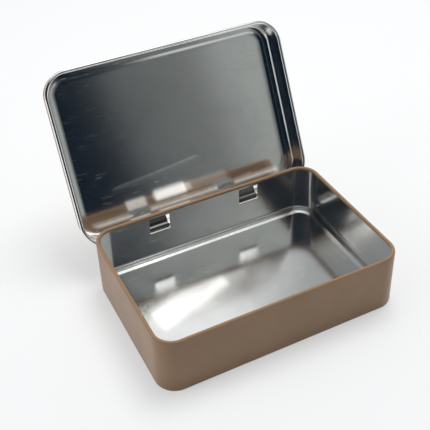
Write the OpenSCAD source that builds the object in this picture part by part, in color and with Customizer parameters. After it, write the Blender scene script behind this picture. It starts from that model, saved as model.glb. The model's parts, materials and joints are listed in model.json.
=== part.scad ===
// Hinged tinplate candy tin: a drawn box and a drawn slip-over lid, held by two rolled tongues.
// Millimetres, +Z up. The origin is the middle of the box where it stands, and the back is at +Y.
// The lid is drawn standing open. Turning it about +X closes it.

/* [Box] */
// Length of the box along X, over its walls
box_length = 110; // [80:1:160]
// Depth of the box along Y, over its walls
box_depth = 75; // [60:0.5:110]
// Height of the box, from the table to the top of its rolled rim
box_height = 27.3; // [24:0.1:40]
// Radius of the upright corners, over the walls
corner_radius = 9; // [8:0.5:20]
// Thickness of the tinplate of box and lid
sheet = 0.3; // [0.2:0.05:0.35]
// Outer radius between the walls and the foot
heel_radius = 0.8; // [0.6:0.1:1.2]
// Diameter of the roll along the rim of the box
rim_roll = 1.7; // [1.4:0.1:2]
// Turn of the box rim, as an angle
rim_turn = 300; // [240:5:320]

/* [Floor] */
// Width of the flat foot that stands on the table
foot_width = 0.2; // [0.1:0.05:0.6]
// Height of the ridge round the floor, from the table to its crest
ridge_height = 2; // [1.6:0.1:2.6]
// Middle radius of the two bends of the riser between foot and ridge
riser_bend = 0.4; // [0.3:0.05:0.45]
// Drop from the crest of the ridge to the floor panel
panel_drop = 0.6; // [0.3:0.1:0.8]
// Steepest slope between the ridge and the floor panel
panel_slope = 40; // [30:1:50]

/* [Lid] */
// Gap between the walls of the box and the skirt of the lid
skirt_gap = 0.7; // [0.65:0.05:0.9]
// Depth of the lid, from its rolled edge to the inner face of its border
lid_depth = 11.3; // [10:0.1:11.5]
// Gap between the border of the shut lid and the rim of the box
seat_gap = 0.1; // [0.05:0.05:0.3]
// Outer radius between the skirt and the border
lid_shoulder = 1.2; // [0.9:0.1:2]
// Width of the flat border between the shoulder and the slope of the raised panel
lid_border = 0.3; // [0.2:0.1:1]
// Rise of the panel over its border
lid_rise = 0.5; // [0.3:0.1:0.8]
// Width of the slope between the border and the panel
lid_slope = 4; // [3:0.1:4.6]
// Diameter of the roll along the edge of the lid
edge_roll = 1.6; // [1.4:0.1:2]
// Turn of the lid edge, as an angle
edge_turn = 300; // [240:5:320]
// How far the lid turns between shut and open
lid_swing = 116; // [90:1:120]

/* [Hinge] */
// Distance between the middles of the two hinges
hinge_spacing = 45.3; // [30:0.1:60]
// Width of each hinge window in the back wall
window_width = 10; // [8:0.1:14]
// Distance from the hinge axis down to the sill of the window
sill_drop = 1.3; // [1.2:0.1:3]
// Distance from the top of the rolled rim down to the head of the window
head_drop = 3.2; // [2.2:0.1:4]
// Gap at each side of a tongue
tongue_gap = 0.3; // [0.2:0.05:0.6]
// Outer radius of the rolled barrel of a tongue
barrel_radius = 1.6; // [1.4:0.05:1.8]
// Reach of the leaf of a tongue, from the hinge axis
leaf_reach = 4.6; // [3.4:0.1:5]
// Radius of the free corners of the leaf
leaf_corner = 1; // [0.3:0.1:1.2]

/* [Hidden] */

// Overrun of a cut past the surface that it opens
over = 1;
tan_lacquer = [0.62, 0.53, 0.43];
bare_tin = [0.74, 0.75, 0.74];

// Half sizes of the rounded rectangle on which the corners turn
core_x = box_length / 2 - corner_radius;
core_y = box_depth / 2 - corner_radius;

// Middle of the rim of the box, as distance from a corner's axis and height
rim_r = rim_roll / 2;
rim_at = [corner_radius - rim_r, box_height - rim_r];

// Stations along the floor, as distances from a corner's axis
foot_out = corner_radius - heel_radius;
foot_in = foot_out - foot_width;
crest_at = foot_in - 2 * riser_bend;
slope_bend = panel_drop / (2 * (1 - cos(panel_slope)));
panel_at = crest_at - 2 * slope_bend * sin(panel_slope);
panel_top = ridge_height - panel_drop;
slope_steps = 4;

// Faces of the lid while shut: distances from a corner's axis, and heights
skirt_in = corner_radius + skirt_gap;
skirt_out = skirt_in + sheet;
border_under = box_height + seat_gap;
border_top = border_under + sheet;
border_out = skirt_out - lid_shoulder;
border_in = border_out - lid_border;
lid_steepest = 2 * atan(lid_rise / lid_slope);
lid_bend = lid_slope / (2 * sin(lid_steepest));
lid_panel_at = border_in - lid_slope;
lid_panel_top = border_top + lid_rise;
edge_r = edge_roll / 2;

// The hinge axis runs along the middle of the rolled edge at the back of the lid
hinge_y = core_y + skirt_in + edge_r;
hinge_z = border_under - lid_depth + edge_r;
tongue_width = window_width - 2 * tongue_gap;

// A slice of a ring between two angles, less than half a turn
module ring_slice(inner, outer, from, to) {
    far = 2 * outer;
    mid = (from + to) / 2;
    intersection() {
        difference() {
            circle(r = outer, $fn = 64);
            circle(r = inner, $fn = 64);
        }
        polygon([
            [0, 0],
            [far * cos(from), far * sin(from)],
            [far * cos(mid), far * sin(mid)] / cos((to - from) / 2),
            [far * cos(to), far * sin(to)],
        ]);
    }
}

// A bend of the sheet whose middle surface has the radius bend
module sheet_bend(bend, from, to) {
    ring_slice(bend - sheet / 2, bend + sheet / 2, from, to);
}

// The rolled edge of a sheet, which starts at one angle and turns anticlockwise
module roll(radius, start, turn) {
    steps = ceil(turn / 90);
    for (i = [0 : steps - 1])
        ring_slice(radius - sheet, radius, start + turn * i / steps, start + turn * (i + 1) / steps);
}

// One face of a slope that runs inwards between two flats, as two equal arcs that meet where it is
// steepest. It goes down where way is 1 and up where way is -1. The ends lie on the middle of the
// sheet, and rise is the height of the face over that middle.
function slope_line(start, end, bend, steepest, way, rise) = concat(
    [for (i = [0 : slope_steps])
        let (turn = 90 + steepest * i / slope_steps)
        start - [0, way * bend] + (bend + way * rise) * [cos(turn), way * sin(turn)]],
    [for (i = [slope_steps - 1 : -1 : 0])
        let (turn = 270 + steepest * i / slope_steps)
        end + [0, way * bend] + (bend - way * rise) * [cos(turn), way * sin(turn)]]);

// The sheet between both faces of such a slope
module slope(start, end, bend, steepest, way) {
    under = slope_line(start, end, bend, steepest, way, -sheet / 2);
    polygon(concat(slope_line(start, end, bend, steepest, way, sheet / 2),
        [for (i = [2 * slope_steps : -1 : 0]) under[i]]));
}

// A rectangle between two corners
module block(low, high) {
    translate(low) square(high - low);
}

// Section of the box from its rim to the edge of the floor panel
module box_section() {
    riser = crest_at + riser_bend;
    translate(rim_at) roll(rim_r, 0, rim_turn);
    block([corner_radius - sheet, heel_radius], [corner_radius, rim_at[1]]);
    translate([foot_out, heel_radius]) ring_slice(heel_radius - sheet, heel_radius, 270, 360);
    block([foot_in, 0], [foot_out, sheet]);
    translate([foot_in, riser_bend + sheet / 2]) sheet_bend(riser_bend, 180, 270);
    block([riser - sheet / 2, riser_bend + sheet / 2],
        [riser + sheet / 2, ridge_height - riser_bend - sheet / 2]);
    translate([crest_at, ridge_height - riser_bend - sheet / 2]) sheet_bend(riser_bend, 0, 90);
    slope([crest_at, ridge_height - sheet / 2], [panel_at, panel_top - sheet / 2],
        slope_bend, panel_slope, 1);
}

// Section of the shut lid from its rolled edge to the edge of its panel
module lid_section() {
    translate([skirt_in + edge_r, hinge_z]) roll(edge_r, 180, edge_turn);
    block([skirt_in, hinge_z], [skirt_out, border_top - lid_shoulder]);
    translate([border_out, border_top - lid_shoulder]) ring_slice(lid_shoulder - sheet, lid_shoulder, 0, 90);
    block([border_in, border_under], [border_out, border_top]);
    slope([border_in, border_top - sheet / 2], [lid_panel_at, lid_panel_top - sheet / 2],
        lid_bend, lid_steepest, -1);
}

// Takes a section round all four sides and corners of the tin
module round_the_tin() {
    half = [core_x, core_y];
    for (i = [0 : 3]) rotate(90 * i) {
        translate([half[i % 2], 0, 0]) rotate([90, 0, 0])
            linear_extrude(2 * half[(i + 1) % 2], center = true) children();
        translate([half[i % 2], half[(i + 1) % 2], 0]) rotate_extrude(angle = 90, $fn = 96) children();
    }
}

// A flat panel with round corners that ends at a distance from the corners' axes
module panel(reach, top) {
    translate([0, 0, top - sheet]) linear_extrude(sheet) {
        square([2 * core_x + 2 * reach, 2 * core_y], center = true);
        square([2 * core_x, 2 * core_y + 2 * reach], center = true);
        for (x = [-1, 1], y = [-1, 1]) translate([x * core_x, y * core_y]) circle(r = reach, $fn = 96);
    }
}

// Places a shape at the middle of each hinge
module at_hinges() {
    for (side = [-1, 1]) translate([side * hinge_spacing / 2, 0, 0]) children();
}

// Turns what is drawn for the shut lid to where it is while the lid stands open
module stand_open() {
    translate([0, hinge_y, hinge_z]) rotate([-lid_swing, 0, 0]) translate([0, -hinge_y, -hinge_z]) children();
}

// A box centred on X between two pairs of Y and Z
module bar(width, low, high) {
    translate([-width / 2, low[0], low[1]]) cube([width, high[0] - low[0], high[1] - low[1]]);
}

// The drawn box, with its foot, ridged floor, rolled rim and two hinge windows
module box() {
    back = core_y + corner_radius;
    color(tan_lacquer) difference() {
        union() {
            round_the_tin() box_section();
            panel(panel_at, panel_top);
        }
        at_hinges() bar(window_width,
            [back - rim_roll, hinge_z - sill_drop], [back + over, box_height - head_drop]);
    }
}

// The drawn lid, whose rolled edge and skirt are notched where the tongues leave it
module lid() {
    color(bare_tin) stand_open() difference() {
        union() {
            round_the_tin() lid_section();
            panel(lid_panel_at, lid_panel_top);
        }
        at_hinges() bar(window_width,
            [hinge_y - edge_roll, hinge_z - edge_roll], [hinge_y + edge_roll, hinge_z + barrel_radius]);
    }
}

// A tongue: the neck under the skirt, the barrel rolled round the hinge axis, and the leaf that
// points into the box while the lid is shut
module hinge_tongue(side) {
    skirt = -edge_r;
    root = barrel_radius - sheet / 2;
    color(bare_tin) stand_open() translate([side * hinge_spacing / 2, hinge_y, hinge_z]) {
        rotate([0, 90, 0]) difference() {
            cylinder(r = barrel_radius, h = tongue_width, center = true, $fn = 64);
            cylinder(r = barrel_radius - sheet, h = tongue_width + over, center = true, $fn = 64);
        }
        bar(tongue_width, [skirt, root * cos(asin(edge_r / root))], [skirt + sheet, barrel_radius]);
        translate([0, 0, -sheet / 2]) linear_extrude(sheet) difference() {
            translate([-tongue_width / 2, -leaf_reach]) square([tongue_width, leaf_reach - root]);
            for (x = [-1, 1]) translate([x * tongue_width / 2, -leaf_reach]) corner_cut(-x);
        }
    }
}

// What is cut from a leaf to leave a round corner, drawn at that corner
module corner_cut(way) {
    difference() {
        translate([way < 0 ? -leaf_corner : -over, -over]) square([leaf_corner + over, leaf_corner + over]);
        translate([way * leaf_corner, leaf_corner]) circle(r = leaf_corner, $fn = 64);
    }
}

module hinge_tongue_left() { hinge_tongue(-1); }
module hinge_tongue_right() { hinge_tongue(1); }

box();
lid();
hinge_tongue_left();
hinge_tongue_right();
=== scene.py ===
"""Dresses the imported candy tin: a drawn tinplate box and a slip-over lid on two rolled tongues.

The shells are drawn as the middle line of their sheet, taken round the tin and given the gauge of
the tinplate, so that the lacquered outside and the bare inside are the two faces of one sheet.
"""

import json
import logging
import math
from dataclasses import dataclass, field
from enum import Enum

import bpy
from mathutils import Matrix, Vector


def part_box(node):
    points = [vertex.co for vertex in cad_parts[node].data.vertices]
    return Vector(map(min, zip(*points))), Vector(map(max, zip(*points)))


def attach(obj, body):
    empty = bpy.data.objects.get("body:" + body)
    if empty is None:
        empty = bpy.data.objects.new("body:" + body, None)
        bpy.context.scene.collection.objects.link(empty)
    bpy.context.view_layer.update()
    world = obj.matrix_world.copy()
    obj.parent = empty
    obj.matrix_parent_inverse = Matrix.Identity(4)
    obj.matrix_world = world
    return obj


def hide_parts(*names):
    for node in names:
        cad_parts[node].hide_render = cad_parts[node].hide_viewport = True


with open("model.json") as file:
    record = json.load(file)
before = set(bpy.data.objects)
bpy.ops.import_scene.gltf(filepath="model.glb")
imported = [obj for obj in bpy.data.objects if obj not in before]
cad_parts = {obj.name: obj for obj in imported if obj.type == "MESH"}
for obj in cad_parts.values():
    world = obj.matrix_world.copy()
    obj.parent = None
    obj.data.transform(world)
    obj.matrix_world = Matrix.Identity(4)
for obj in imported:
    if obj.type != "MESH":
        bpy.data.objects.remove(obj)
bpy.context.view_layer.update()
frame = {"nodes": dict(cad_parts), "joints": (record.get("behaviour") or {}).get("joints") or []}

MM = 0.001
WELD = 0.001 * MM
SMOOTH_ANGLE = math.radians(35)
IMAGE_SIDE = 430
SENSOR_WIDTH = 36.0
LOG = logging.getLogger("candy_tin")

Point = tuple[float, float]
Colour = tuple[float, float, float]
Triple = tuple[float, float, float]


class Face(Enum):
    """The two faces of a sheet, as the material slots of a shell."""

    OUTSIDE = 0
    INSIDE = 1


Finishes = dict[Face, bpy.types.Material]


class Value:
    """A shader socket that takes part in Python expressions."""

    def __init__(self, graph: "Graph", socket: bpy.types.NodeSocket) -> None:
        """Wraps an output socket of a graph."""
        self.graph = graph
        self.socket = socket

    def _math(self, operation: str, *terms: "Value | float") -> "Value":
        """Adds one Math node.

        Args:
            operation: the operation of the node.
            terms: its inputs in order.

        Returns:
            The node's result.
        """
        node = self.graph.node("ShaderNodeMath", {"operation": operation}, dict(enumerate(terms)))
        return Value(self.graph, node.outputs[0])

    def __add__(self, other: "Value | float") -> "Value":
        """Adds."""
        return self._math("ADD", self, other)

    def __radd__(self, other: float) -> "Value":
        """Adds to a number."""
        return self._math("ADD", other, self)

    def __mul__(self, other: "Value | float") -> "Value":
        """Multiplies."""
        return self._math("MULTIPLY", self, other)

    def __rmul__(self, other: float) -> "Value":
        """Multiplies a number."""
        return self._math("MULTIPLY", other, self)

    def __abs__(self) -> "Value":
        """Takes the size without the sign."""
        return self._math("ABSOLUTE", self)

    def step(self, low: float, high: float) -> "Value":
        """Rises smoothly from 0 at low to 1 at high.

        Args:
            low: where the rise starts.
            high: where it ends; below low the step falls instead.

        Returns:
            The step.
        """
        start, end = (0.0, 1.0) if low < high else (1.0, 0.0)
        settings = {"interpolation_type": "SMOOTHSTEP"}
        terms = {"Value": self, "From Min": min(low, high), "From Max": max(low, high),
                 "To Min": start, "To Max": end}
        return Value(self.graph, self.graph.node("ShaderNodeMapRange", settings, terms).outputs[0])


@dataclass(frozen=True)
class Pattern:
    """A noise over the object: its features in a metre along X and across it, and its finer layers."""

    along: float
    across: float
    detail: float
    rough: float = 0.55


class Graph:
    """The node tree of one material or world, built from scratch."""

    def __init__(self, tree: bpy.types.NodeTree) -> None:
        """Empties a node tree."""
        self.tree = tree
        tree.nodes.clear()

    def node(self, kind: str, settings: dict | None = None, inputs: dict | None = None) -> bpy.types.Node:
        """Adds a node.

        Args:
            kind: the node's type.
            settings: its properties, which are set first.
            inputs: values or links for its sockets, by name or number.

        Returns:
            The node.
        """
        node = self.tree.nodes.new(kind)
        for name, setting in (settings or {}).items():
            setattr(node, name, setting)
        for name, term in (inputs or {}).items():
            socket = node.inputs[name]
            if isinstance(term, Value):
                self.tree.links.new(term.socket, socket)
            elif isinstance(term, bpy.types.NodeSocket):
                self.tree.links.new(term, socket)
            else:
                socket.default_value = term
        return node

    def place(self) -> bpy.types.NodeSocket:
        """Gives the object coordinates, in metres."""
        return self.node("ShaderNodeTexCoord").outputs["Object"]

    def noise(self, pattern: Pattern) -> Value:
        """Adds noise over the object.

        Args:
            pattern: how coarse and how finely layered the noise is.

        Returns:
            The noise, about 0.5.
        """
        scale = (pattern.along, pattern.across, pattern.across)
        place = self.node("ShaderNodeMapping", {}, {"Vector": self.place(), "Scale": scale}).outputs[0]
        inputs = {"Vector": place, "Scale": 1.0, "Detail": pattern.detail, "Roughness": pattern.rough}
        return Value(self, self.node("ShaderNodeTexNoise", {}, inputs).outputs[0])

    def blend(self, share: Value, low: Colour, high: Colour) -> Value:
        """Mixes two colours.

        Args:
            share: the share of the second colour.
            low: the first colour.
            high: the second colour.

        Returns:
            The mixed colour.
        """
        factor_input, low_input, high_input, colour_output = 0, 6, 7, 2
        inputs = {factor_input: share, low_input: (*low, 1.0), high_input: (*high, 1.0)}
        return Value(self, self.node("ShaderNodeMix", {"data_type": "RGBA"}, inputs).outputs[colour_output])

    def bump(self, height: Value, distance: float) -> bpy.types.NodeSocket:
        """Turns a height into a normal.

        Args:
            height: the height, 0 to 1.
            distance: the height in metres that 1 stands for.

        Returns:
            The normal.
        """
        return self.node("ShaderNodeBump", {}, {"Height": height, "Distance": distance}).outputs[0]

    def shown(self) -> Value:
        """Tells the rays that show a surface from those that light it.

        Returns:
            1 on a ray from the camera, or from a mirror or glass, and 0 on the others.
        """
        path = self.node("ShaderNodeLightPath")
        names = ("Is Camera Ray", "Is Glossy Ray", "Is Transmission Ray")
        camera, mirror, glass = (Value(self, path.outputs[name]) for name in names)
        return camera + mirror + glass

    def glow(self, colour: Colour) -> bpy.types.NodeSocket:
        """Adds an even glow of one colour."""
        return self.node("ShaderNodeEmission", {}, {"Color": (*colour, 1.0), "Strength": 1.0}).outputs[0]

    def surface(self, inputs: dict) -> None:
        """Ends a material in a Principled shader with these inputs."""
        shader = self.node("ShaderNodeBsdfPrincipled", {}, inputs)
        self.node("ShaderNodeOutputMaterial", {}, {"Surface": shader.outputs[0]})

    def mixed_surface(self, share: Value, low: bpy.types.NodeSocket, high: bpy.types.NodeSocket) -> None:
        """Ends a material in a mix of two shaders, with the share of the second."""
        mix = self.node("ShaderNodeMixShader", {}, {0: share, 1: low, 2: high})
        self.node("ShaderNodeOutputMaterial", {}, {"Surface": mix.outputs[0]})


def new_material(name: str) -> tuple[bpy.types.Material, Graph]:
    """Makes an empty node material.

    Args:
        name: the material's name.

    Returns:
        The material, and the graph that fills it.
    """
    material = bpy.data.materials.new(name)
    material.use_nodes = True
    return material, Graph(material.node_tree)


@dataclass(frozen=True)
class BareTinplate:
    """Bright rolled tinplate: rolling grain, faint clouds, sparkle, handling scratches and a slight sway."""

    colour: Colour = (0.89, 0.89, 0.88)
    shade: Colour = (0.80, 0.80, 0.79)
    roughness: float = 0.09
    grain: Pattern = Pattern(25.0, 4000.0, 2.0)
    grain_roughness: float = 0.05
    grain_height: float = 0.02
    clouds: Pattern = Pattern(45.0, 45.0, 4.0)
    cloud_edges: Point = (0.35, 0.75)
    cloud_roughness: float = 0.06
    specks: Pattern = Pattern(1500.0, 1500.0, 1.0)
    speck_height: float = 0.14
    scratches: Pattern = Pattern(90.0, 4500.0, 2.0, 0.7)
    scratch_edges: Point = (0.66, 0.76)
    scratch_roughness: float = 0.06
    scratch_height: float = 0.5
    waves: Pattern = Pattern(28.0, 28.0, 1.0)
    sway: float = 0.02 * MM

    def make(self, name: str) -> bpy.types.Material:
        """Builds the finish.

        Args:
            name: the material's name.

        Returns:
            The material.
        """
        material, graph = new_material(name)
        grain = graph.noise(self.grain)
        clouds = graph.noise(self.clouds)
        specks = graph.noise(self.specks)
        scratches = graph.noise(self.scratches).step(*self.scratch_edges)
        colour = graph.blend(clouds.step(*self.cloud_edges), self.colour, self.shade)
        roughness = (self.roughness + self.cloud_roughness * clouds + self.grain_roughness * grain
                     + self.scratch_roughness * scratches)
        height = (graph.noise(self.waves) + self.grain_height * grain + self.speck_height * specks
                  + self.scratch_height * scratches)
        graph.surface({"Base Color": colour, "Metallic": 1.0, "Roughness": roughness,
                       "Normal": graph.bump(height, self.sway)})
        return material


@dataclass(frozen=True)
class TanLacquer:
    """Satin tan lacquer baked on the tinplate, slightly mottled, with a soft clear coat."""

    colour: Colour = (0.325, 0.198, 0.11)
    shade: Colour = (0.29, 0.175, 0.096)
    roughness: float = 0.46
    specular: float = 0.2
    coat: float = 0.4
    coat_roughness: float = 0.18
    clouds: Pattern = Pattern(60.0, 60.0, 4.0)
    cloud_edges: Point = (0.3, 0.7)
    cloud_roughness: float = 0.1
    peel: Pattern = Pattern(1500.0, 1500.0, 2.0)
    peel_roughness: float = 0.08
    peel_height: float = 0.05
    waves: Pattern = Pattern(30.0, 30.0, 1.0)
    sway: float = 0.03 * MM

    def make(self, name: str) -> bpy.types.Material:
        """Builds the finish.

        Args:
            name: the material's name.

        Returns:
            The material.
        """
        material, graph = new_material(name)
        clouds = graph.noise(self.clouds)
        peel = graph.noise(self.peel)
        colour = graph.blend(clouds.step(*self.cloud_edges), self.colour, self.shade)
        roughness = self.roughness + self.cloud_roughness * clouds + self.peel_roughness * peel
        height = graph.noise(self.waves) + self.peel_height * peel
        graph.surface({"Base Color": colour, "Roughness": roughness, "Specular IOR Level": self.specular,
                       "Coat Weight": self.coat, "Coat Roughness": self.coat_roughness,
                       "Normal": graph.bump(height, self.sway)})
        return material


@dataclass(frozen=True)
class FloorPaper:
    """White floor paper that keeps a pale shadow: in part it glows to the camera and in mirrors."""

    colour: Colour = (0.88, 0.885, 0.89)
    glow_colour: Colour = (0.98, 0.985, 0.99)
    glow: float = 0.45

    def make(self, name: str) -> bpy.types.Material:
        """Builds the finish.

        Args:
            name: the material's name.

        Returns:
            The material.
        """
        material, graph = new_material(name)
        lit = graph.node("ShaderNodeBsdfDiffuse", {}, {"Color": (*self.colour, 1.0)})
        glow = graph.glow(self.glow_colour)
        graph.mixed_surface(self.glow * graph.shown(), lit.outputs[0], glow)
        return material


@dataclass(frozen=True)
class CardGlow:
    """The even glow of a studio card, which fades out towards the card's edges."""

    colour: Colour
    half: Point
    fade: Point

    def make(self, name: str) -> bpy.types.Material:
        """Builds the finish.

        Args:
            name: the material's name.

        Returns:
            The material.
        """
        material, graph = new_material(name)
        place = graph.node("ShaderNodeSeparateXYZ", {}, {0: graph.place()})
        share = 1.0
        for axis, (half, fade) in enumerate(zip(self.half, self.fade)):
            share = abs(Value(graph, place.outputs[axis])).step(half, half - fade) * share
        clear = graph.node("ShaderNodeBsdfTransparent")
        graph.mixed_surface(share, clear.outputs[0], graph.glow(self.colour))
        return material


@dataclass
class SheetSizes:
    """Sizes that the box and the lid share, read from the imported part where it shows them."""

    gauge: float = 0.3 * MM
    roll: float = 1.7 * MM
    edge_roll: float = 1.6 * MM
    roll_turn: float = 300.0
    corner_radius: float = 9 * MM
    skirt_gap: float = 0.7 * MM
    seat_gap: float = 0.1 * MM
    window_width: float = 10 * MM
    half: Vector = field(default_factory=lambda: (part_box("box")[1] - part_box("box")[0]) / 2)
    top: float = field(default_factory=lambda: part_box("box")[1].z)
    axis: Vector = field(default_factory=lambda: Vector(frame["joints"][0]["pos_m"]))
    swing: float = field(default_factory=lambda: math.radians(frame["joints"][0]["range_deg"][1]))

    @property
    def core(self) -> Vector:
        """Gives the half sizes of the rectangle on which the corners turn."""
        return Vector((self.half.x - self.corner_radius, self.half.y - self.corner_radius))

    @property
    def hinges(self) -> list[float]:
        """Gives the middle of each hinge along X."""
        tongues = (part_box("hinge_tongue_left"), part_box("hinge_tongue_right"))
        return [(low.x + high.x) / 2 for low, high in tongues]


def on_circle(centre: Point, radius: float, angle: float) -> Point:
    """Finds a point of a circle, at an angle in degrees anticlockwise from the right."""
    turn = math.radians(angle)
    return (centre[0] + radius * math.cos(turn), centre[1] + radius * math.sin(turn))


def select_alone(piece: bpy.types.Object) -> None:
    """Selects one piece and nothing else, and makes it the active one.

    Args:
        piece: the piece.
    """
    bpy.ops.object.select_all(action="DESELECT")
    piece.select_set(True)
    bpy.context.view_layer.objects.active = piece


def edit_whole() -> None:
    """Enters edit mode with the whole of the active piece selected."""
    bpy.ops.object.mode_set(mode="EDIT")
    bpy.ops.mesh.select_all(action="SELECT")


class SheetPen:
    """Draws the middle line of a sheet and takes it round the tin, with the tools of edit mode."""

    ARC_STEP = math.radians(7.5)
    FEWEST_ARC_STEPS = 4
    CORNER_STEPS = 24
    MARGIN = 0.4 * MM

    def __init__(self, name: str, sizes: SheetSizes, start: Point) -> None:
        """Starts a line at one point of the section.

        Args:
            name: the name of the piece.
            sizes: the sizes of the sheet.
            start: distance from a corner's axis, and height.
        """
        self.sizes = sizes
        self.at = start
        bpy.ops.object.select_all(action="DESELECT")
        bpy.ops.mesh.primitive_plane_add(size=sizes.gauge)
        self.piece = bpy.context.object
        self.piece.name = name
        edit_whole()
        bpy.ops.mesh.select_mode(type="VERT")
        bpy.ops.mesh.merge(type="CENTER")
        bpy.ops.transform.translate(value=self._place(start))

    def _place(self, point: Point) -> Vector:
        """Turns a point of the section into a place at the front end of the right side."""
        return Vector((self.sizes.core.x + point[0], -self.sizes.core.y, point[1]))

    def line(self, point: Point) -> None:
        """Draws a straight stretch.

        Args:
            point: where it ends, in the section.
        """
        move = self._place(point) - self._place(self.at)
        bpy.ops.mesh.extrude_vertices_move(TRANSFORM_OT_translate={"value": move})
        self.at = point

    def arc(self, centre: Point, turn: float) -> None:
        """Draws an arc.

        Args:
            centre: the middle of the arc, in the section.
            turn: the angle in degrees, anticlockwise as seen from the front.
        """
        angle = math.radians(turn)
        steps = max(self.FEWEST_ARC_STEPS, round(abs(angle) / self.ARC_STEP))
        bpy.ops.mesh.spin(steps=steps, angle=angle, center=self._place(centre), axis=(0, 1, 0))
        arm = Matrix.Rotation(angle, 2) @ Vector((self.at[0] - centre[0], self.at[1] - centre[1]))
        self.at = (centre[0] + arm.x, centre[1] + arm.y)

    def _side(self, way: Vector, length: float) -> None:
        """Takes the section along one side, with a narrow band at each end that keeps it flat."""
        for stretch in (self.MARGIN, length - 2 * self.MARGIN, self.MARGIN):
            bpy.ops.mesh.extrude_region_move(TRANSFORM_OT_translate={"value": way * stretch})

    def go_round(self) -> None:
        """Takes the whole section round the four sides and corners and closes the ring."""
        bpy.ops.mesh.select_all(action="SELECT")
        core = self.sizes.core
        corners = ((1, 1), (-1, 1), (-1, -1), (1, -1))
        ways = ((0, 1, 0), (-1, 0, 0), (0, -1, 0), (1, 0, 0))
        for index, (corner, way) in enumerate(zip(corners, ways)):
            self._side(Vector(way), 2 * (core.x if index % 2 else core.y))
            centre = (corner[0] * core.x, corner[1] * core.y, 0)
            bpy.ops.mesh.spin(steps=self.CORNER_STEPS, angle=math.pi / 2, center=centre, axis=(0, 0, -1))
        bpy.ops.mesh.select_all(action="SELECT")
        bpy.ops.mesh.remove_doubles(threshold=WELD)

    def fill(self, height: float) -> None:
        """Fills the ring's open edge with a flat panel that has a narrow border.

        Args:
            height: the height of the open edge.
        """
        bpy.ops.object.mode_set(mode="OBJECT")
        mesh = self.piece.data
        for part in (*mesh.polygons, *mesh.edges):
            part.select = False
        for vertex in mesh.vertices:
            vertex.select = abs(vertex.co.z - height) < WELD
        bpy.ops.object.mode_set(mode="EDIT")
        bpy.ops.mesh.edge_face_add()
        bpy.ops.mesh.inset(thickness=self.MARGIN)

    def gauge(self, outward: Vector) -> None:
        """Gives the sheet its thickness, with one slot for each face.

        Args:
            outward: a direction in which the sheet's outside faces on its right side.
        """
        bpy.ops.mesh.select_all(action="SELECT")
        bpy.ops.mesh.normals_make_consistent(inside=False)
        bpy.ops.object.mode_set(mode="OBJECT")
        wall = max(self.piece.data.polygons, key=lambda face: face.area * abs(face.normal.x))
        if wall.normal.dot(outward) * wall.center.x < 0:
            edit_whole()
            bpy.ops.mesh.flip_normals()
            bpy.ops.object.mode_set(mode="OBJECT")
        solidify = self.piece.modifiers.new("gauge", "SOLIDIFY")
        solidify.thickness = self.sizes.gauge
        solidify.offset = 0.0
        solidify.use_even_offset = True
        solidify.material_offset = Face.INSIDE.value
        solidify.material_offset_rim = Face.INSIDE.value


def apply_modifiers(piece: bpy.types.Object) -> None:
    """Applies all modifiers of a piece, in order.

    Args:
        piece: the piece.
    """
    select_alone(piece)
    for modifier in list(piece.modifiers):
        bpy.ops.object.modifier_apply(modifier=modifier.name)


def cut_bar(piece: bpy.types.Object, low: Vector, high: Vector) -> None:
    """Cuts a bar-shaped hole in a piece.

    Args:
        piece: the piece to cut.
        low: the lowest corner of the hole.
        high: its highest corner.
    """
    bpy.ops.object.select_all(action="DESELECT")
    bpy.ops.mesh.primitive_cube_add(size=1.0)
    cutter = bpy.context.object
    edit_whole()
    bpy.ops.transform.resize(value=high - low)
    bpy.ops.transform.translate(value=(high + low) / 2)
    bpy.ops.object.mode_set(mode="OBJECT")
    for slot in piece.data.materials:
        cutter.data.materials.append(slot)
    for face in cutter.data.polygons:
        face.material_index = Face.INSIDE.value
    boolean = piece.modifiers.new("hole", "BOOLEAN")
    boolean.operation = "DIFFERENCE"
    boolean.solver = "EXACT"
    boolean.object = cutter
    apply_modifiers(piece)
    bpy.data.objects.remove(cutter)


def finish_shell(piece: bpy.types.Object, body: str, node: str) -> None:
    """Smooths a finished shell and puts it in the place of its solid.

    Args:
        piece: the shell.
        body: the body that it rides on.
        node: the solid that it stands for.
    """
    select_alone(piece)
    bpy.ops.object.shade_smooth_by_angle(angle=SMOOTH_ANGLE)
    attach(piece, body)
    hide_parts(node)
    LOG.info("%s: %d faces", piece.name, len(piece.data.polygons))


@dataclass
class Shell:
    """A part of the tin that is drawn from one sheet."""

    sizes: SheetSizes

    def coat(self, piece: bpy.types.Object, finishes: Finishes) -> None:
        """Gives the sheet a finish for each face, and its thickness.

        Args:
            piece: the shell.
            finishes: the finish of each face.
        """
        for face in Face:
            piece.data.materials.append(finishes[face])
        apply_modifiers(piece)

    def cut_hinges(self, piece: bpy.types.Object, low: Point, high: Point) -> None:
        """Cuts a bar out of the sheet at each hinge.

        Args:
            piece: the shell.
            low: the bar's lowest place along Y and Z.
            high: its highest place along Y and Z.
        """
        reach = self.sizes.window_width / 2
        for x in self.sizes.hinges:
            cut_bar(piece, Vector((x - reach, *low)), Vector((x + reach, *high)))


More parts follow.
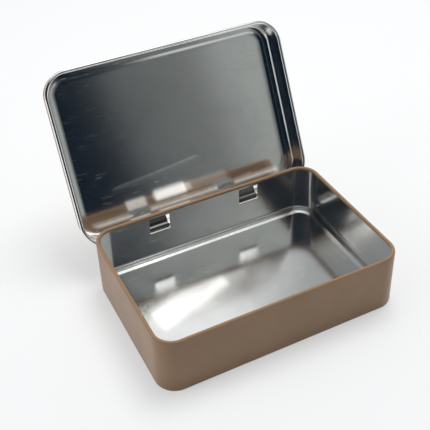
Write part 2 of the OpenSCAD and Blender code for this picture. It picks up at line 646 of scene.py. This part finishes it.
@dataclass
class Box(Shell):
    """The drawn box: walls, rolled rim, foot, ridged floor and two hinge windows."""

    heel_radius: float = 0.8 * MM
    foot_width: float = 0.2 * MM
    ridge_height: float = 2 * MM
    riser_bend: float = 0.4 * MM
    panel_drop: float = 0.6 * MM
    panel_slope: float = 40.0
    sill_drop: float = 1.3 * MM
    head_drop: float = 3.2 * MM

    def build(self) -> bpy.types.Object:
        """Models the shell.

        Returns:
            The shell, without its finish.
        """
        s = self.sizes
        half_gauge = s.gauge / 2
        rim = (s.corner_radius - s.roll / 2, s.top - s.roll / 2)
        foot_out = s.corner_radius - self.heel_radius
        foot_in = foot_out - self.foot_width
        crest = foot_in - 2 * self.riser_bend
        slope = math.radians(self.panel_slope)
        slope_bend = self.panel_drop / (2 * (1 - math.cos(slope)))
        panel_at = crest - 2 * slope_bend * math.sin(slope)
        panel = self.ridge_height - self.panel_drop - half_gauge
        riser_top = self.ridge_height - self.riser_bend - half_gauge
        pen = SheetPen("tin_box", s, on_circle(rim, s.roll / 2 - half_gauge, s.roll_turn))
        pen.arc(rim, -s.roll_turn)
        pen.line((pen.at[0], self.heel_radius))
        pen.arc((foot_out, self.heel_radius), -90)
        pen.line((foot_in, half_gauge))
        pen.arc((foot_in, self.riser_bend + half_gauge), -90)
        pen.line((pen.at[0], riser_top))
        pen.arc((crest, riser_top), 90)
        pen.arc((crest, self.ridge_height - half_gauge - slope_bend), self.panel_slope)
        pen.arc((panel_at, panel + slope_bend), -self.panel_slope)
        pen.go_round()
        pen.fill(panel)
        pen.gauge(Vector((1, 0, 0)))
        return pen.piece

    def dress(self, piece: bpy.types.Object, finishes: Finishes) -> None:
        """Gives the shell its finishes and cuts its hinge windows.

        Args:
            piece: the shell.
            finishes: the finish of each face.
        """
        s = self.sizes
        self.coat(piece, finishes)
        self.cut_hinges(piece, (s.half.y - s.roll, s.axis.z - self.sill_drop),
                        (s.half.y + s.roll, s.top - self.head_drop))
        finish_shell(piece, "box", "box")


@dataclass
class Lid(Shell):
    """The drawn lid: a raised panel in a flat border, a rounded shoulder, a skirt and a rolled edge."""

    shoulder: float = 1.2 * MM
    border: float = 0.3 * MM
    rise: float = 0.5 * MM
    slope: float = 4 * MM
    notch_rise: float = 1.6 * MM

    def build(self) -> bpy.types.Object:
        """Models the shell as it is when the tin is shut.

        Returns:
            The shell, without its finish.
        """
        s = self.sizes
        half_gauge = s.gauge / 2
        skirt = s.corner_radius + s.skirt_gap + half_gauge
        edge_line = s.edge_roll / 2 - half_gauge
        edge = (skirt + edge_line, s.axis.z)
        top = s.top + s.seat_gap + s.gauge
        pen = SheetPen("tin_lid", s, on_circle(edge, edge_line, 180 + s.roll_turn))
        pen.arc(edge, -s.roll_turn)
        pen.line((skirt, top - self.shoulder))
        pen.arc((skirt + half_gauge - self.shoulder, top - self.shoulder), 90)
        border_in = pen.at[0] - self.border
        border_line = top - half_gauge
        pen.line((border_in, border_line))
        steepest = 2 * math.atan(self.rise / self.slope)
        bend = self.slope / (2 * math.sin(steepest))
        pen.arc((border_in, border_line + bend), -math.degrees(steepest))
        pen.arc((border_in - self.slope, border_line + self.rise - bend), math.degrees(steepest))
        pen.go_round()
        pen.fill(border_line + self.rise)
        pen.gauge(Vector((1, 0, 0)))
        return pen.piece

    def dress(self, piece: bpy.types.Object, finishes: Finishes) -> None:
        """Gives the shell its finishes, notches its edge at the hinges and stands it open.

        Args:
            piece: the shell.
            finishes: the finish of each face.
        """
        s = self.sizes
        self.coat(piece, finishes)
        self.cut_hinges(piece, (s.axis.y - s.edge_roll, s.axis.z - s.edge_roll),
                        (s.axis.y + s.edge_roll, s.axis.z + self.notch_rise))
        edit_whole()
        bpy.ops.transform.rotate(value=s.swing, orient_axis="X", center_override=s.axis)
        bpy.ops.object.mode_set(mode="OBJECT")
        finish_shell(piece, "lid", "lid")


@dataclass
class HingeTongues:
    """The two rolled tongues of the lid, which keep the solids' own shape; their tinplate is darkened below
    the lid's as painted shade.
    """

    nodes: tuple[str, ...] = ("hinge_tongue_left", "hinge_tongue_right")
    # painted shade: the tongues' tinplate colour is darkened to stand for the dark surroundings that they
    # mirror
    finish: BareTinplate = BareTinplate(colour=(0.20, 0.20, 0.19), shade=(0.14, 0.14, 0.13), roughness=0.16)

    def dress(self) -> None:
        """Gives the tongues their darkened tinplate, which is painted shade."""
        painted_shade_finish = self.finish.make("painted_shade_tinplate")
        for name in self.nodes:
            piece = frame["nodes"][name]
            piece.data.materials.clear()
            piece.data.materials.append(painted_shade_finish)
            LOG.info("%s: dressed", name)


@dataclass(frozen=True)
class Card:
    """A dark, grey or white studio card that the metal mirrors and the camera doesn't see.

    Azimuths run from the front (-Y) towards the right (+X). A card that shades is seen by the matt
    surfaces too.
    """

    name: str
    azimuth: float
    elevation: float
    distance: float
    width: float
    height: float
    glow: Colour
    fade: Point = (0.08, 0.08)
    shades: bool = False


@dataclass(frozen=True)
class Glint:
    """A small soft light close to the tin that only its metal mirrors.

    Its place is counted from the middle of the hinge's axis, and its angles are in degrees.
    """

    name: str
    offset: Triple
    width: float
    height: float
    glow: Colour
    angles: Triple = (90.0, 0.0, 0.0)


@dataclass(frozen=True)
class SoftLight:
    """A square soft light that faces the object, with its middle, its side and its power in watts."""

    name: str
    middle: Triple
    side: float
    power: float


def direction(azimuth: float, elevation: float) -> Vector:
    """Gives the direction from the object towards an azimuth and elevation in radians."""
    level = math.cos(elevation)
    return Vector((math.sin(azimuth) * level, -math.cos(azimuth) * level, math.sin(elevation)))


@dataclass
class Studio:
    """A pale floor, soft light, the cards and glints that the metal mirrors, and the camera."""

    middle: Vector = field(default_factory=lambda: Vector((0, 20 * MM, 30 * MM)))
    hinge: Vector = field(default_factory=lambda: Vector(frame["joints"][0]["pos_m"]))
    floor_side: float = 6.0
    world_colour: Colour = (0.922, 0.94, 0.948)
    world_strength: float = 0.66
    cards: tuple[Card, ...] = (
        Card("flag_front", -24.0, 24.0, 0.8, 1.5, 0.9, (0.002, 0.008, 0.017), (0.10, 0.08), True),
        Card("flag_left", -95.0, 34.0, 0.8, 1.1, 0.8, (0.02, 0.025, 0.03)),
        Card("flag_low", 2.0, 4.0, 0.5, 0.36, 0.2, (0.02, 0.025, 0.03), (0.05, 0.06)),
        Card("flag_near", 5.0, -1.0, 0.2, 0.11, 0.05, (0.01, 0.014, 0.018), (0.025, 0.015)),
        Card("shade_middle", 21.0, 22.0, 0.87, 0.22, 0.5, (0.14, 0.15, 0.15), (0.06, 0.08)),
        Card("shade_high", -30.0, 47.0, 0.78, 0.9, 0.4, (0.01, 0.014, 0.02), (0.10, 0.08)),
        Card("grey_front_right", 52.0, 30.0, 0.95, 1.5, 1.1, (0.34, 0.36, 0.35), (0.08, 0.08), True),
        Card("grey_back_right", 128.0, 42.0, 0.85, 0.5, 0.6, (0.36, 0.38, 0.38)),
        Card("grey_back_left", -155.0, 40.0, 0.85, 0.75, 0.6, (0.25, 0.27, 0.28)),
        Card("window_back", 163.0, 37.0, 1.0, 0.4, 0.25, (1.0, 1.0, 1.0), (0.04, 0.04)),
        Card("window_top", 118.0, 74.0, 0.8, 0.4, 0.4, (2.1, 2.1, 2.1), (0.06, 0.06)),
    )
    glints: tuple[Glint, ...] = (
        Glint("glint_left", (-23.5 * MM, 1.2 * MM, 8.1 * MM), 10 * MM, 5 * MM, (0.42, 0.42, 0.40)),
        Glint("glint_middle", (-5.5 * MM, 1.2 * MM, 8.9 * MM), 16 * MM, 5.5 * MM, (0.62, 0.62, 0.61)),
        Glint("glint_core", (-4.5 * MM, 1.3 * MM, 8.7 * MM), 20 * MM, 3.5 * MM, (0.30, 0.30, 0.29)),
        Glint("glint_right", (13 * MM, 1.1 * MM, 8.6 * MM), 24 * MM, 5 * MM, (0.11, 0.10, 0.085)),
        Glint("glint_low", (0, 1 * MM, 1.6 * MM), 104 * MM, 7 * MM, (0.15, 0.155, 0.15)),
        Glint("glint_line", (0, 1.3 * MM, 2.1 * MM), 104 * MM, 1.8 * MM, (1.2, 1.2, 1.2)),
        Glint("glint_floor", (-9 * MM, 1 * MM, 21.1 * MM), 44 * MM, 12 * MM, (0.85, 0.85, 0.84),
              (-14.5, 0.0, 18.0)),
    )
    soft_lights: tuple[SoftLight, ...] = (
        SoftLight("soft_top", (0.2, 0.12, 0.8), 0.42, 4.0),
        SoftLight("soft_left", (-0.75, 0.15, 0.4), 0.4, 1.2),
    )
    camera_azimuth: float = -25.32
    camera_elevation: float = 36.13
    camera_roll: float = 2.22
    camera_distance: float = 363 * MM
    camera_nearest: float = 10 * MM
    focal_pixels: float = 822.3
    target: Triple = (2.5 * MM, 32.5 * MM, 41 * MM)
    off_centre: Point = (-2.0, -39.4)

    def floor(self) -> None:
        """Lays the floor."""
        bpy.ops.object.select_all(action="DESELECT")
        bpy.ops.mesh.primitive_plane_add(size=self.floor_side, location=(0, 0, 0))
        floor = bpy.context.object
        floor.name = "floor"
        floor.data.materials.append(FloorPaper().make("floor_paper"))
        LOG.info("floor: laid")

    def card(self, card: Card) -> None:
        """Stands one card so that it faces the object.

        Args:
            card: the card.
        """
        way = direction(math.radians(card.azimuth), math.radians(card.elevation))
        bpy.ops.object.select_all(action="DESELECT")
        bpy.ops.mesh.primitive_plane_add(size=1.0)
        piece = bpy.context.object
        piece.name = card.name
        piece.data.transform(Matrix.Diagonal((card.width, card.height, 1.0, 1.0)))
        turn = way.to_track_quat("Z", "Y").to_matrix().to_4x4()
        piece.matrix_world = Matrix.Translation(self.middle + way * card.distance) @ turn
        half = (card.width / 2, card.height / 2)
        piece.data.materials.append(CardGlow(card.glow, half, card.fade).make(card.name))
        piece.visible_camera = False
        piece.visible_shadow = False
        piece.visible_diffuse = card.shades
        LOG.info("%s: placed", card.name)

    @staticmethod
    def hang(lamp: bpy.types.Light, place: Vector) -> bpy.types.Object:
        """Hangs a lamp that the camera doesn't see.

        Args:
            lamp: the lamp.
            place: its middle.

        Returns:
            The lamp's object, which isn't turned yet.
        """
        lamp_object = bpy.data.objects.new(lamp.name, lamp)
        lamp_object.location = place
        lamp_object.visible_camera = False
        bpy.context.scene.collection.objects.link(lamp_object)
        LOG.info("%s: hung", lamp.name)
        return lamp_object

    def glint(self, glint: Glint) -> None:
        """Hangs one small light that shines as brightly as its glow and shows in metal alone.

        Args:
            glint: the light.
        """
        lamp = bpy.data.lights.new(glint.name, "AREA")
        lamp.shape = "RECTANGLE"
        lamp.size = glint.width
        lamp.size_y = glint.height
        lamp.color = glint.glow
        lamp.energy = math.pi * glint.width * glint.height
        lamp_object = self.hang(lamp, self.hinge + Vector(glint.offset))
        lamp_object.rotation_euler = tuple(math.radians(angle) for angle in glint.angles)
        lamp_object.visible_diffuse = False

    def soft_light(self, light: SoftLight) -> None:
        """Hangs one soft light that faces the object and doesn't show in mirrors.

        Args:
            light: the light.
        """
        lamp = bpy.data.lights.new(light.name, "AREA")
        lamp.shape = "SQUARE"
        lamp.size = light.side
        lamp.energy = light.power
        place = Vector(light.middle)
        lamp_object = self.hang(lamp, place)
        lamp_object.rotation_euler = (place - self.middle).to_track_quat("Z", "Y").to_euler()
        lamp_object.visible_glossy = False

    def world(self) -> None:
        """Lights the room evenly."""
        world = bpy.data.worlds.new("studio_room")
        bpy.context.scene.world = world
        world.use_nodes = True
        graph = Graph(world.node_tree)
        strength = self.world_strength + (1.0 - self.world_strength) * graph.shown()
        inputs = {"Color": (*self.world_colour, 1.0), "Strength": strength}
        sky = graph.node("ShaderNodeBackground", {}, inputs)
        graph.node("ShaderNodeOutputWorld", {}, {"Surface": sky.outputs[0]})

    def camera(self) -> None:
        """Sets the camera at the photograph's viewing angle."""
        azimuth = math.radians(self.camera_azimuth)
        roll = math.radians(self.camera_roll)
        ahead = -direction(azimuth, math.radians(self.camera_elevation))
        right = Vector((math.cos(azimuth), math.sin(azimuth), 0))
        down = ahead.cross(right)
        across = math.cos(roll) * right + math.sin(roll) * down
        below = -math.sin(roll) * right + math.cos(roll) * down
        lens = bpy.data.cameras.new("camera")
        lens.sensor_width = SENSOR_WIDTH
        lens.lens = SENSOR_WIDTH * self.focal_pixels / IMAGE_SIDE
        lens.shift_x = -self.off_centre[0] / IMAGE_SIDE
        lens.shift_y = self.off_centre[1] / IMAGE_SIDE
        lens.clip_start = self.camera_nearest
        camera = bpy.data.objects.new("camera", lens)
        turn = Matrix((across, -below, -ahead)).transposed().to_4x4()
        place = Vector(self.target) - ahead * self.camera_distance
        camera.matrix_world = Matrix.Translation(place) @ turn
        bpy.context.scene.collection.objects.link(camera)
        bpy.context.scene.camera = camera

    def build(self) -> None:
        """Builds the whole studio."""
        self.camera()
        self.world()
        self.floor()
        for card in self.cards:
            self.card(card)
        for glint in self.glints:
            self.glint(glint)
        for light in self.soft_lights:
            self.soft_light(light)
        bpy.context.scene.view_settings.view_transform = "Standard"


def main() -> None:
    """Builds the studio and the tin."""
    logging.basicConfig(level=logging.INFO)
    Studio().build()
    sizes = SheetSizes()
    finishes = {Face.OUTSIDE: TanLacquer().make("tan_lacquer"),
                Face.INSIDE: BareTinplate().make("bare_tinplate")}
    for part in (Box(sizes), Lid(sizes)):
        part.dress(part.build(), finishes)
    HingeTongues().dress()


if __name__ == "__main__":
    main()
